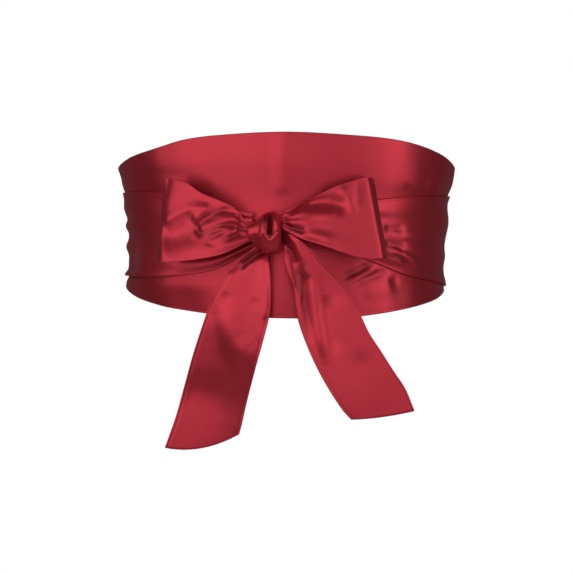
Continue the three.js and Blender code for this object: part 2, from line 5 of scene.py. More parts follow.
import bpy
import numpy as np
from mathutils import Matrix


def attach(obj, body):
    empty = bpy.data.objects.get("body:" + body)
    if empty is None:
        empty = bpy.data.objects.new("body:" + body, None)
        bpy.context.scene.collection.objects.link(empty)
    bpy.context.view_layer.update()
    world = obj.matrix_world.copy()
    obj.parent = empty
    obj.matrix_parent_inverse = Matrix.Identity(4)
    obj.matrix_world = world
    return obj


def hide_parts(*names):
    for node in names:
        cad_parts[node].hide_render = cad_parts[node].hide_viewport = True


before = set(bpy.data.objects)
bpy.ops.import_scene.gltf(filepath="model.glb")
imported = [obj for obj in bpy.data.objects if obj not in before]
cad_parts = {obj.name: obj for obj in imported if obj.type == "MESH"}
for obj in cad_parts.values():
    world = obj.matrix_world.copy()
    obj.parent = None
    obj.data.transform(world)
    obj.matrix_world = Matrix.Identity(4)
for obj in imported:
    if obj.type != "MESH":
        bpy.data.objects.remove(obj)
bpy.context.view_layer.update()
print("frame loaded")

millimetre = 0.001


# Camera and studio

camera = dict(distance=1300.0, lookDown=2.13, lens=103.9, clipEnd=20.0)
leftBox = dict(azimuth=-38.5, elevation=12.0, distance=1.3, width=1.9, height=1.38, radiance=1.25)
frontBox = dict(azimuth=22.0, elevation=12.0, distance=1.7, width=1.6, height=1.8, radiance=0.73)
rightBox = dict(azimuth=62.0, elevation=11.0, distance=1.35, width=0.6, height=1.43, radiance=1.5)
ambient = dict(colour=(1.0, 0.99, 0.98, 1.0), strength=0.08, backdrop=1.0)
floorDisc = dict(sides=96, radius=2.2, height=-1.0, roughness=0.9, colour=(0.7, 0.7, 0.7, 1.0))
floorFade = dict(solidTo=0.9, clearShare=0.97)  # solid to this radius, clear from this share of the disc's


def makeCamera():
    lens = bpy.data.cameras.new("camera")
    lens.lens = camera["lens"]
    lens.clip_end = camera["clipEnd"]
    eye = bpy.data.objects.new("camera", lens)
    eye.location = (0.0, -camera["distance"] * millimetre, 0.0)
    eye.rotation_euler = (math.radians(90.0 - camera["lookDown"]), 0.0, 0.0)
    bpy.context.scene.collection.objects.link(eye)
    bpy.context.scene.camera = eye
    bpy.context.scene.view_settings.view_transform = "Standard"


def makeBoxLight(name, box):
    light = bpy.data.lights.new(name, "AREA")
    light.shape = "RECTANGLE"
    light.size = box["width"]
    light.size_y = box["height"]
    light.energy = box["radiance"] * math.pi * box["width"] * box["height"]
    azimuth = math.radians(box["azimuth"])
    elevation = math.radians(box["elevation"])
    lamp = bpy.data.objects.new(name, light)
    lamp.location = (
        box["distance"] * math.cos(elevation) * math.sin(azimuth),
        -box["distance"] * math.cos(elevation) * math.cos(azimuth),
        box["distance"] * math.sin(elevation),
    )
    lamp.rotation_euler = (math.pi / 2 - elevation, 0.0, azimuth)
    lamp.visible_camera = False
    bpy.context.scene.collection.objects.link(lamp)


def makeWorld():
    world = bpy.data.worlds.new("studio")
    bpy.context.scene.world = world
    world.use_nodes = True
    nodes, links = world.node_tree.nodes, world.node_tree.links
    nodes.clear()
    path = nodes.new("ShaderNodeLightPath")
    fill = nodes.new("ShaderNodeBackground")
    fill.inputs["Color"].default_value = ambient["colour"]
    fill.inputs["Strength"].default_value = ambient["strength"]
    white = nodes.new("ShaderNodeBackground")
    white.inputs["Strength"].default_value = ambient["backdrop"]
    white.inputs["Color"].default_value = (1.0, 1.0, 1.0, 1.0)
    mix = nodes.new("ShaderNodeMixShader")
    out = nodes.new("ShaderNodeOutputWorld")
    links.new(path.outputs["Is Camera Ray"], mix.inputs["Fac"])
    links.new(fill.outputs[0], mix.inputs[1])
    links.new(white.outputs[0], mix.inputs[2])
    links.new(mix.outputs[0], out.inputs["Surface"])


def makeFloor():
    sides, radius = floorDisc["sides"], floorDisc["radius"]
    bpy.ops.mesh.primitive_circle_add(vertices=sides, radius=radius, fill_type="NGON")
    floor = bpy.context.active_object
    floor.name = "studio_floor"
    floor.data.transform(floor.matrix_world)
    for vertex in floor.data.vertices:
        vertex.co.z += floorDisc["height"]
    material = bpy.data.materials.new("pale_floor")
    material.use_nodes = True
    nodes, links = material.node_tree.nodes, material.node_tree.links
    surface = nodes["Principled BSDF"]
    surface.inputs["Base Color"].default_value = floorDisc["colour"]
    surface.inputs["Roughness"].default_value = floorDisc["roughness"]
    place = nodes.new("ShaderNodeTexCoord")
    flat = nodes.new("ShaderNodeVectorMath")
    flat.operation = "MULTIPLY"
    flat.inputs[1].default_value = (1.0, 1.0, 0.0)
    away = nodes.new("ShaderNodeVectorMath")
    away.operation = "LENGTH"
    fade = nodes.new("ShaderNodeMapRange")
    fade.interpolation_type = "SMOOTHSTEP"
    fade.inputs["From Min"].default_value = floorFade["solidTo"]
    fade.inputs["From Max"].default_value = radius * floorFade["clearShare"]
    fade.inputs["To Min"].default_value = 1.0
    fade.inputs["To Max"].default_value = 0.0
    links.new(place.outputs["Object"], flat.inputs[0])
    links.new(flat.outputs[0], away.inputs[0])
    links.new(away.outputs["Value"], fade.inputs["Value"])
    links.new(fade.outputs["Result"], surface.inputs["Alpha"])
    floor.data.materials.append(material)


makeCamera()
makeWorld()
makeBoxLight("left_box", leftBox)
makeBoxLight("front_box", frontBox)
makeBoxLight("right_box", rightBox)
makeFloor()
print("camera and studio ready")


# Curves through short tables


def table(columns, *rows):
    return dict(zip(columns.split(), np.array(rows, dtype=float).T))


def tableAt(rows, places):  # every column at the given places, on a smooth curve through the rows
    at = rows["at"]
    last = len(at) - 1
    i = np.clip(np.searchsorted(at, places, side="left") - 1, 0, last - 1)
    before, after = np.maximum(i - 1, 0), np.minimum(i + 2, last)
    span = at[i + 1] - at[i]
    t = np.clip((places - at[i]) / span, 0.0, 1.0)
    found = {}
    for column, values in rows.items():
        a, b = values[i], values[i + 1]
        slopeA = (b - values[before]) / (at[i + 1] - at[before]) * span
        slopeB = (values[after] - a) / (at[after] - at[i]) * span
        cubic = 2 * (a - b) + slopeA + slopeB
        square = 3 * (b - a) - 2 * slopeA - slopeB
        found[column] = ((cubic * t + square) * t + slopeA) * t + a
    return found


def blendBetween(value, low, high):
    t = np.clip((value - low) / (high - low), 0.0, 1.0)
    return t * t * (3 - 2 * t)


def hump(offset, spread):
    return np.exp(-((offset / spread) ** 2))


def crease(*path, rise, spread, fade=0.25):
    # rise: millimetres, below 0 for a groove. spread: one width, or one for each side of the path.
    # fade: the share of its length over which it comes up at each end.
    sides = spread if isinstance(spread, tuple) else (spread, spread)
    return dict(path=path, rise=rise, sides=sides, fade=fade)


creaseEnds = dict(beyond=0.35, shortest=1e-6)  # the fade starts this share of its length past the end
# painted shade: the bottoms of narrow grooves are darkened towards this colour
grooveShade = dict(narrow=5.0, colour=(0.12, 0.004, 0.01, 1.0), strength=0.75)
ripples = dict(waves=7, slowest=0.7, fastest=1.5, crest=1.4)


def alongPath(points, x, z):  # signed distance from the path, place along it, and its length
    path = np.array(points, dtype=float)
    steps = path[1:] - path[:-1]
    lengths = np.hypot(steps[:, 0], steps[:, 1])
    starts = np.concatenate([[0.0], np.cumsum(lengths)])
    nearest = np.full_like(x, np.inf)
    offset = np.zeros_like(x)
    along = np.zeros_like(x)
    for i, (step, length) in enumerate(zip(steps, lengths)):
        dx, dz = x - path[i, 0], z - path[i, 1]
        share = np.clip((dx * step[0] + dz * step[1]) / length**2, 0.0, 1.0)
        away = np.hypot(dx - share * step[0], dz - share * step[1])
        side = np.sign(step[0] * dz - step[1] * dx)
        closer = away < nearest
        nearest = np.where(closer, away, nearest)
        offset = np.where(closer, away * side, offset)
        along = np.where(closer, starts[i] + share * length, along)
    return offset, along, starts[-1]


def creaseHeight(creases, x, z):
    height = np.zeros_like(x)
    for each in creases:
        offset, along, length = alongPath(each["path"], x, z)
        left, right = each["sides"]
        profile = hump(offset, np.where(offset > 0, left, right))
        fade = max(each["fade"] * length, creaseEnds["shortest"])
        start = blendBetween(along, -creaseEnds["beyond"] * fade, fade)
        end = blendBetween(length - along, -creaseEnds["beyond"] * fade, fade)
        height += each["rise"] * profile * (start * end)
    return height


def grooveShadeMask(creases, x, z):  # painted shade mask: 1 in the bottom of a narrow groove, where little light gets in
    narrow = [
        dict(each, rise=-each["rise"] / min(each["sides"]))
        for each in creases
        if each["rise"] < 0 and min(each["sides"]) < grooveShade["narrow"]
    ]
    return np.clip(creaseHeight(narrow, x, z), 0.0, 1.0)


def ripple(x, z, height, wavelength, seed, stretch):  # gentle seeded unevenness, about this high
    rng = np.random.default_rng(seed)
    total = np.zeros_like(x)
    for _ in range(ripples["waves"]):
        angle, phase = rng.uniform(0, 2 * math.pi), rng.uniform(0, 2 * math.pi)
        k = 2 * math.pi * rng.uniform(ripples["slowest"], ripples["fastest"]) / wavelength
        total += np.sin(k * (math.cos(angle) * x / stretch + math.sin(angle) * z) + phase)
    return height * (total / math.sqrt(ripples["waves"]) / ripples["crest"])


# The waist, walked by arc length from the centre of the front towards +X

waist = dict(halfBreadth=121.0, halfDepth=96.0)
angleSteps = 1440
stepAngles = (np.arange(angleSteps) + 0.5) / angleSteps * 2 * math.pi
stepLengths = np.hypot(
    waist["halfBreadth"] * np.cos(stepAngles), waist["halfDepth"] * np.sin(stepAngles)
) * (2 * math.pi / angleSteps)
arcLengths = np.concatenate([[0.0], np.cumsum(stepLengths)])
girth = arcLengths[-1]


def waistAngle(along):
    turns = np.floor(along / girth)
    rest = along - turns * girth
    return (turns + np.interp(rest, arcLengths, np.arange(angleSteps + 1)) / angleSteps) * 2 * math.pi


# How far the band stands off the oval at its sides: nipped in under the ties, flared at top and bottom
sideProfile = table(
    "at left right",
    (-72, 3.2, 1.2),
    (-52, 3.1, 0.9),
    (-45, 2.8, 0.2),
    (-38, -0.3, -1.5),
    (-28, -1.5, -2.1),
    (-10, -1.3, -0.9),
    (5, -0.9, -0.3),
    (16, 0.2, 0.9),
    (24, 3.2, 4.0),
    (31, 5.6, 6.9),
    (37, 6.8, 8.1),
    (45, 9.4, 9.2),
    (60, 11, 10.5),
    (76, 11.5, 11),
)
topFlare = dict(out=2.5, start=14.0, full=52.0)
bottomFlare = dict(out=1.5, start=30.0, full=60.0)


def bandFlare(angle, z):
    side = np.sin(angle) ** 2
    profile = tableAt(sideProfile, z)
    sides = np.where(np.sin(angle) < 0, profile["left"], profile["right"])
    top = topFlare["out"] * blendBetween(z, topFlare["start"], topFlare["full"])
    bottom = bottomFlare["out"] * blendBetween(-z, bottomFlare["start"], bottomFlare["full"])
    return side * sides + (1 - side) * (top + bottom)


def onFigure(along, z, out):
    angle = waistAngle(along)
    x, y = waist["halfBreadth"] * np.sin(angle), -waist["halfDepth"] * np.cos(angle)
    nx, ny = np.sin(angle) / waist["halfBreadth"], -np.cos(angle) / waist["halfDepth"]
    size = np.hypot(nx, ny)
    nx, ny = nx / size, ny / size
    off = bandFlare(angle, z) + out
    points = np.stack([x + nx * off, y + ny * off, z], axis=-1)
    return points, np.stack([nx, ny, np.zeros_like(z)], axis=-1)


# Cloth: a grid shaped by a face, given its thickness and smoothed

cloth = dict(edgeCrowding=0.62, seamInset=1.9, seamSpread=0.7)


def edgeSeam(v, width, depth):  # the seam just inside each turned edge
    fromEdge = np.minimum(v, 1 - v) * width
    return -depth * hump(fromEdge - cloth["seamInset"], cloth["seamSpread"])


def applyModifier(piece, kind, **values):
    modifier = piece.modifiers.new(kind.lower(), kind)
    for key, value in values.items():
        setattr(modifier, key, value)
    bpy.ops.object.modifier_apply(modifier=modifier.name)


def makeSheet(name, part, face, flat):
    wall = part["wall"]
    columns, rows = part["grid"]
    bpy.ops.object.select_all(action="DESELECT")
    bpy.ops.mesh.primitive_grid_add(x_subdivisions=columns, y_subdivisions=rows, size=1.0)
    piece = bpy.context.active_object
    piece.name = name
    piece.data.name = name
    square = np.empty(len(piece.data.vertices) * 3)
    piece.data.vertices.foreach_get("co", square)
    square = square.reshape(-1, 3)
    u, even = square[:, 0] + 0.5, square[:, 1] + 0.5
    crowd = cloth["edgeCrowding"]
    v = (1 - crowd) * even + crowd * (0.5 - 0.5 * np.cos(math.pi * even))
    points, normals, paintedGrooveShade = face(u, v)
    placed = (points + normals * wall / 2) * millimetre
    piece.data.vertices.foreach_set("co", placed.ravel())
    corners = np.empty(len(piece.data.loops), dtype=int)
    piece.data.loops.foreach_get("vertex_index", corners)
    flatPlaces = np.stack([u * flat[1], v * flat[0]], axis=-1)[corners]
    piece.data.uv_layers.active.data.foreach_set("uv", flatPlaces.ravel())
    # the painted shade mask for narrow grooves, kept on the mesh as a point attribute
    mask = piece.data.attributes.new("paintedGrooveShade", "FLOAT", "POINT")
    mask.data.foreach_set("value", paintedGrooveShade)
    piece.data.update()
    applyModifier(piece, "SOLIDIFY", thickness=wall * millimetre, offset=0.0, use_even_offset=False)
    applyModifier(piece, "SUBSURF", levels=1, render_levels=1)
    bpy.ops.object.shade_smooth()
    piece.data.materials.clear()
    piece.data.materials.append(satin)
    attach(piece, "root")
    return piece


# Satin

satinSurface = {
    "Metallic": 0.72,
    "Anisotropic": 0.5,
    "Anisotropic Rotation": 0.25,  # a quarter turn from the cloth's length
    "Coat Weight": 0.25,
    "Coat Roughness": 0.42,
    "Sheen Weight": 0.05,
    "Sheen Tint": (1.0, 0.35, 0.42, 1.0),
    "Specular IOR Level": 0.6,
    "Specular Tint": (1.0, 0.8, 0.85, 1.0),
}
satinLook = dict(
    colour=(0.70, 0.026, 0.051, 1.0),
    shade=(0.38, 0.014, 0.027, 1.0),
    roughness=(0.34, 0.39),
    threads=2600.0,  # per metre of cloth
    float=6.0,  # threads that one float passes over
    floatDetail=1.0,
    clouds=22.0,  # per metre of cloth
    cloudDetail=2.0,
    grain=0.6,  # share of the floats in the tone, the rest is clouds
    bump=0.2,
    bumpDepth=0.00008,
)


def makeWeaveGroup():
    group = bpy.data.node_groups.new("satinWeave", "ShaderNodeTree")
    sockets = group.interface
    sockets.new_socket("UV", in_out="INPUT", socket_type="NodeSocketVector")
    sockets.new_socket("Threads", in_out="INPUT", socket_type="NodeSocketFloat")
    sockets.new_socket("Float", in_out="INPUT", socket_type="NodeSocketFloat")
    sockets.new_socket("Height", in_out="OUTPUT", socket_type="NodeSocketFloat")
    sockets.new_socket("Cloud", in_out="OUTPUT", socket_type="NodeSocketFloat")
    sockets.new_socket("Tone", in_out="OUTPUT", socket_type="NodeSocketFloat")
    nodes, links = group.nodes, group.links
    given, result = nodes.new("NodeGroupInput"), nodes.new("NodeGroupOutput")
    count = nodes.new("ShaderNodeVectorMath")
    count.operation = "SCALE"
    links.new(given.outputs["UV"], count.inputs[0])
    links.new(given.outputs["Threads"], count.inputs["Scale"])
    split = nodes.new("ShaderNodeSeparateXYZ")
    links.new(count.outputs[0], split.inputs[0])
    longWay = nodes.new("ShaderNodeMath")
    longWay.operation = "DIVIDE"
    links.new(split.outputs["X"], longWay.inputs[0])
    links.new(given.outputs["Float"], longWay.inputs[1])
    joined = nodes.new("ShaderNodeCombineXYZ")
    links.new(longWay.outputs[0], joined.inputs["X"])
    links.new(split.outputs["Y"], joined.inputs["Y"])
    floats = nodes.new("ShaderNodeTexNoise")
    floats.inputs["Scale"].default_value = 1.0
    floats.inputs["Detail"].default_value = satinLook["floatDetail"]
    links.new(joined.outputs[0], floats.inputs["Vector"])
    links.new(floats.outputs["Fac"], result.inputs["Height"])
    cloud = nodes.new("ShaderNodeTexNoise")
    cloud.inputs["Scale"].default_value = satinLook["clouds"]
    cloud.inputs["Detail"].default_value = satinLook["cloudDetail"]
    links.new(given.outputs["UV"], cloud.inputs["Vector"])
    links.new(cloud.outputs["Fac"], result.inputs["Cloud"])
    grain = nodes.new("ShaderNodeMix")
    grain.inputs["Factor"].default_value = satinLook["grain"]
    links.new(cloud.outputs["Fac"], grain.inputs["A"])
    links.new(floats.outputs["Fac"], grain.inputs["B"])
    links.new(grain.outputs["Result"], result.inputs["Tone"])
    return group


def clothColour(nodes, links, tone):  # darker tone to full colour by the random tone, then darkened by painted shade in narrow grooves
    dyed = nodes.new("ShaderNodeMix")
    dyed.data_type = "RGBA"
    dyed.inputs["A"].default_value = satinLook["shade"]
    dyed.inputs["B"].default_value = satinLook["colour"]
    links.new(tone, dyed.inputs["Factor"])
    # painted shade: the groove mask darkens the colour towards a near-black red
    mask = nodes.new("ShaderNodeAttribute")
    mask.attribute_name = "paintedGrooveShade"
    share = nodes.new("ShaderNodeMath")
    share.operation = "MULTIPLY"
    share.inputs[1].default_value = grooveShade["strength"]
    links.new(mask.outputs["Fac"], share.inputs[0])
    deep = nodes.new("ShaderNodeMix")
    deep.data_type = "RGBA"
    deep.inputs["B"].default_value = grooveShade["colour"]
    links.new(share.outputs[0], deep.inputs["Factor"])
    links.new(dyed.outputs["Result"], deep.inputs["A"])
    return deep.outputs["Result"]


def makeSatin():
    material = bpy.data.materials.new("red_satin")
    material.use_nodes = True
    nodes, links = material.node_tree.nodes, material.node_tree.links
    surface = nodes["Principled BSDF"]
    for socket, value in satinSurface.items():
        surface.inputs[socket].default_value = value
    place = nodes.new("ShaderNodeUVMap")
    place.uv_map = "UVMap"
    weave = nodes.new("ShaderNodeGroup")
    weave.node_tree = makeWeaveGroup()
    weave.inputs["Threads"].default_value = satinLook["threads"]
    weave.inputs["Float"].default_value = satinLook["float"]
    links.new(place.outputs["UV"], weave.inputs["UV"])
    links.new(clothColour(nodes, links, weave.outputs["Tone"]), surface.inputs["Base Color"])
    gloss = nodes.new("ShaderNodeMapRange")
    gloss.inputs["To Min"].default_value = satinLook["roughness"][0]
    gloss.inputs["To Max"].default_value = satinLook["roughness"][1]
    links.new(weave.outputs["Cloud"], gloss.inputs["Value"])
    links.new(gloss.outputs["Result"], surface.inputs["Roughness"])
    bump = nodes.new("ShaderNodeBump")
    bump.inputs["Strength"].default_value = satinLook["bump"]
    bump.inputs["Distance"].default_value = satinLook["bumpDepth"]
    links.new(weave.outputs["Height"], bump.inputs["Height"])
    links.new(bump.outputs["Normal"], surface.inputs["Normal"])
    warp = nodes.new("ShaderNodeTangent")
    warp.direction_type = "UV_MAP"
    warp.uv_map = "UVMap"
    links.new(warp.outputs["Tangent"], surface.inputs["Tangent"])
    return material


satin = makeSatin()
print("satin ready")


# The front panel

panel = dict(halfLength=215.0, wall=1.8, grid=(200, 58), seam=0.16)
panelRipple = dict(height=0.25, wavelength=55.0, seed=3, stretch=0.6)
panelOutline = table(
    "at top bottom",
    (-215, 27.5, -36),
    (-170, 41.5, -46.5),
    (-130, 50.5, -54.8),
    (-100, 57, -60.4),
    (-75, 62.8, -63.5),
    (-50, 65.5, -65.8),
    (0, 67.6, -68),
    (50, 65.4, -67.3),
    (75, 63.6, -65),
    (100, 59.8, -61.8),
    (130, 52.3, -57.3),
    (170, 41, -50),
    (215, 26, -41),
)
panelCreases = [
    crease((-3.6, 22), (-3.6, 74), rise=0.8, spread=6, fade=0.1),  # pressed crease down the centre
    crease((40, -38), (45, -37.5), (52, -35), (63, -29.5), rise=-1.6, spread=2.6),
    crease((45, -41.5), (59, -36), (69, -30), rise=1.4, spread=2.4),
    crease((47, -45), (57, -39.8), (66, -37.5), (79, -34), rise=-1.4, spread=2.2),
    crease((56, -50), (84, -44), rise=1, spread=6),
    crease((76, -17.5), (90, -22), (99, -26.5), (109, -33.5), rise=2, spread=2.4),
    crease((75, -20.8), (88, -24.4), (97, -29.5), rise=-1.6, spread=1.8),
    crease((78, -43), (88, -41), rise=-0.7, spread=3.4),
    crease((72, -3), (92, -4.5), rise=-1.6, spread=3.2),
    crease((72, -12.5), (92, -18), rise=-1.8, spread=3.2),
    crease((90, 29.5), (97, 26), (107, 22), rise=-0.5, spread=3),
    crease((112, 27), (128, 31), rise=1.2, spread=6),
    crease((-128, 44), (-112, 60), rise=0.9, spread=10),
    # the swell under the left loop, and the hem drawn in below it
    crease((-135, -28), (-100, -28), (-45, -28), rise=7, spread=(17, 24), fade=0.3),
    crease((-135, -70), (-100, -73), (-45, -74), rise=-3, spread=22, fade=0.3),
]


def panelHeight(along, z):
    return creaseHeight(panelCreases, along, z) + ripple(along, z, **panelRipple)


def panelFace(u, v):
    along = (2 * u - 1) * panel["halfLength"]
    outline = tableAt(panelOutline, along)
    height = outline["top"] - outline["bottom"]
    z = outline["bottom"] + v * height
    points, normals = onFigure(along, z, panelHeight(along, z) + edgeSeam(v, height, panel["seam"]))
    return points, normals, grooveShadeMask(panelCreases, along, z)


# The ties' way round the waist

ties = dict(wall=1.3, grid=(230, 34), seam=0.1, foldFade=26.0)
tieRipple = dict(height=0.3, wavelength=30.0, stretch=3.0)
leftWrap = table(
    "at middle half out gather",
    (215.3, -7.5, 33.5, 0, 0),
    (240, -3, 30, 0.1, 1),
    (275, 13, 21, 0.2, 2.2),
    (305, 12, 19, 0.2, 2.4),
    (342, -5, 18, 0.2, 2.4),
    (388, -24, 17, 0.3, 2.2),
    (416, -26, 18, 4.6, 2),
    (442, -19, 24, 4.6, 1.6),
    (472, -11, 30, 2.3, 0.8),
    (514, -7.5, 32, 2.2, 0),
    (560, -7, 32, 2.2, 0),
    (600, -7.5, 30, 2.2, 0.4),
    (630, -8.5, 25, 2.3, 1.2),
    (646, -8, 17.5, 2.6, 1.8),
    (666.5, -4.5, 9, 2.6, 1.8),
)
rightWrap = table(
    "at middle half out gather",
    (215.3, -4.3, 31.7, 0, 0),
    (240, 8, 29, 0.1, 1),
    (268, 21, 18, 0.2, 2),
    (294, 19, 17, 4.8, 2.2),
    (342, -5, 18, 5, 2.2),
    (388, -25, 19, 5, 2.2),
    (416, -26, 23, 5, 1.8),
    (442, -20, 28, 4.6, 1.2),
    (472, -16, 32, 2.5, 0.5),
    (514, -13, 35, 2.6, 0),
    (560, -10.3, 31.8, 2.6, 0),
    (592, -8, 28.5, 2.6, 0.5),
    (622, -4.2, 22, 2.6, 1.4),
    (652, -2.8, 14.5, 2.6, 2),
    (697.5, -4.5, 9, 2.6, 1.8),
)
wrapPleats = table(
    "place spread rise",
    (-0.74, 0.15, 1),
    (-0.28, 0.14, 0.8),
    (0.16, 0.15, 1),
    (0.66, 0.17, 0.9),
)
leftFolds = table(
    "start end across spread rise",
    (430, 575, 0.62, 0.22, 3.2),
    (470, 560, 0.2, 0.1, 3),
    (480, 545, -0.3, 0.13, 2.8),
    (440, 590, -0.97, 0.09, 2.4),
)
rightFolds = table(
    "start end across spread rise",
    (440, 560, 0.42, 0.3, 2.6),
    (470, 590, -0.35, 0.16, 1.4),
    (555, 610, 0.02, 0.12, 2),
    (575, 655, -0.62, 0.14, 1.8),
)


def eachRow(rows):
    names = list(rows)
    return [dict(zip(names, values)) for values in zip(*rows.values())]


def wrapFace(rows, folds, side, seed):
    def face(u, v):
        along = rows["at"][0] + u * (rows["at"][-1] - rows["at"][0])
        across = 2 * v - 1
        row = tableAt(rows, along)
        z = row["middle"] + across * row["half"]
        height = ripple(along, z, seed=seed, **tieRipple)
        for pleat in eachRow(wrapPleats):
            height += row["gather"] * pleat["rise"] * hump(across - pleat["place"], pleat["spread"])
        fade = ties["foldFade"]
        for fold in eachRow(folds):
            start = blendBetween(along, fold["start"] - fade, fold["start"] + fade)
            end = 1 - blendBetween(along, fold["end"] - fade, fold["end"] + fade)
            height += fold["rise"] * start * end * hump(across - fold["across"], fold["spread"])
        onPanel = side * (along - girth)
        height += creaseHeight(panelCreases, onPanel, z) + edgeSeam(v, 2 * row["half"], ties["seam"])
        points, normals = onFigure(side * along, z, row["out"] + height)
        return points, normals, grooveShadeMask(panelCreases, onPanel, z)

    return face


# The bow's loops

loops = dict(wall=1.2, grid=(120, 50), leftRoot=-28.3, rightRoot=-4.3, seam=0.05)
loopTip = dict(slope=0.22, level=-5.0)  # the front layer leans back above this level
loopTurn = dict(start=0.45, end=0.55)  # the shares of the way where front becomes back
loopNeck = dict(end=3.0, full=12.0)  # millimetres along, where the neck's pleats give way to creases
loopRipple = dict(height=0.22, wavelength=24.0, stretch=1.6)
directionStep = 0.5
leftLoop = table(
    "at reach depth rise half lean pleat",
    (0, -4, 111, -5, 6, 0, 0.4),
    (5, 1, 112, -5, 7.2, 0, 0.7),
    (13.5, 9, 114.2, -2.5, 14.4, 0, 1),
    (23.6, 19, 115, -2.1, 19.3, 0.2, 0.8),
    (38.3, 33.6, 113.5, -0.7, 23.8, 1, 0.4),
    (51.3, 46, 109.8, 2.2, 28.4, 2, 0.1),
    (64.8, 58, 103.6, 3.2, 30.2, 3, 0),
    (72, 62.5, 97, 3.6, 30.5, 3.3, 0),
    (78, 60.5, 91.2, 3.6, 30.5, 3.2, 0),
    (91.6, 47, 90.3, 1.6, 27.4, 2.4, 0.1),
    (109, 31, 97, -1.2, 20.8, 1, 0.4),
    (125.1, 16, 102.8, -0.2, 13.6, 0, 0.7),
    (137.5, 4, 105.6, 0.8, 9.4, 0, 0.7),
    (145.5, -4, 106, 0.5, 8, 0, 0.4),
)
rightLoop = table(
    "at reach depth rise half lean pleat",
    (0, -4, 111, 2.5, 5, 0, 0.4),
    (5, 1, 112.2, 3, 5.8, 0, 0.7),
    (11.2, 7, 113.8, 2.6, 8.4, 0, 1),
    (20.3, 16, 115, 2.8, 13.1, 0.3, 0.8),
    (34, 29.7, 115.8, 3.7, 18.6, 1.2, 0.5),
    (45.5, 41.2, 115.8, 4.2, 23.6, 2, 0.2),
    (56.1, 51.7, 114.6, 4, 27, 3, 0.1),
    (66.3, 61.6, 112, 4.7, 29.2, 4, 0),
    (71.8, 66.8, 110.2, 5.1, 29.2, 4.8, 0),
    (73.4, 68.1, 109.3, 5.2, 29.2, 5, 0),
    (75, 68.9, 107.9, 5.2, 29.2, 5, 0),
    (78.6, 70.2, 104.5, 5.2, 29.2, 5, 0),
    (83.7, 71.5, 99.6, 5.2, 29.2, 5, 0),
    (86.6, 71, 96.2, 5.1, 29.1, 4.9, 0),
    (90.1, 69, 93.4, 5, 29, 4.6, 0),
    (109.9, 50, 98.6, 2.6, 25.8, 3, 0.1),
    (130.3, 30, 102.6, -0.6, 18.2, 1, 0.4),
    (145.4, 15, 104.2, -1, 12, 0, 0.6),
    (158.4, 2, 105.3, 1, 7.2, 0, 0.6),
    (164.4, -4, 105.5, 1.8, 6, 0, 0.4),
)
neckPleats = table(
    "place spread rise",
    (-0.7, 0.22, 1.2),
    (-0.1, 0.2, 0.8),
    (0.45, 0.18, 0.9),
    (0.95, 0.14, 1),
)
leftLoopCreases = [
    crease(
        (-88, 2), (-80.5, 7), (-73, 10.5), (-63.5, 12.5), (-56, 13),
        rise=0.9, spread=(3.4, 2.3), fade=0.1,
    ),
    crease((-92, -10), (-80.5, -6.5), (-71.5, -3), (-62.5, 2), rise=-4.6, spread=(8.5, 11), fade=0.2),
    crease((-53, 14.5), (-60.5, 10), (-66, 4.5), (-69, -1.5), (-66.5, -6.5), (-61, -10), rise=1.12, spread=3),
    crease(
        (-41, 11), (-51.5, 8.5), (-58, 4.5), (-64, -0.5), (-65, -4), (-62.5, -6.5), (-58, -5.5),
        (-53, -3), (-44.5, -0.5), (-34.5, 1),
        rise=-1.2, spread=2.3, fade=0.1,
    ),
    crease((-33.5, 3.5), (-43, 2.8), (-51.5, 0.8), (-58.5, -2), rise=1.5, spread=3.4, fade=0.15),
    crease((-58, -6), (-49.5, -2.8), (-41, -1.8), rise=1.2, spread=1.8),
    crease((-41, -4), (-51.5, -8), (-55.5, -10), (-55.5, -13), (-50, -15.5), rise=-0.83, spread=2.3),
    crease((-52, -11.5), (-44.5, -7.5), (-36, -3), rise=0.98, spread=2.3),
    crease((-43, -11), (-37, -7.3), (-31, -4.5), rise=-1.2, spread=1.8),
    crease((-36, -3), (-28, -3), rise=-1.95, spread=2.3),
    crease((-35.5, 9), (-38, 6.5), (-37, 3), (-33.5, 0.5), rise=0.83, spread=1.3),
    crease((-36, 6.5), (-33, 2), rise=-1.05, spread=1.5),
]
rightLoopCreases = [
    crease((-5.5, 4), (2.5, 10), (12, 17.5), (20, 22), rise=1.4, spread=1.9, fade=0.1),
    crease((-2.5, 3), (4.5, 8.3), (12.5, 14.8), (17, 17), rise=-1.2, spread=1.6, fade=0.1),
    crease((11, 15.5), (22, 16), (33, 15.5), (45, 12.5), rise=-2.4, spread=(6, 6.5), fade=0.2),
    crease((31, 16), (43, 14), rise=-0.8, spread=5),
    crease((0.5, 0.5), (8, 3.5), (21.5, 6.5), (36, 7.5), rise=1.6, spread=(4.6, 5.4), fade=0.15),
    crease((39, 28), (44, 18.5), (47.5, 11.5), (47, 6), rise=1.1, spread=3.2),
    crease((52, 33), (51.5, 23.5), (51.5, 14), rise=-0.6, spread=3),
    crease((-2, -1.5), (5.5, -3), (14, -5.5), rise=-2.2, spread=2.6, fade=0.15),
    crease((8, -1), (21, -7), (36, -13), rise=1.2, spread=5),
]


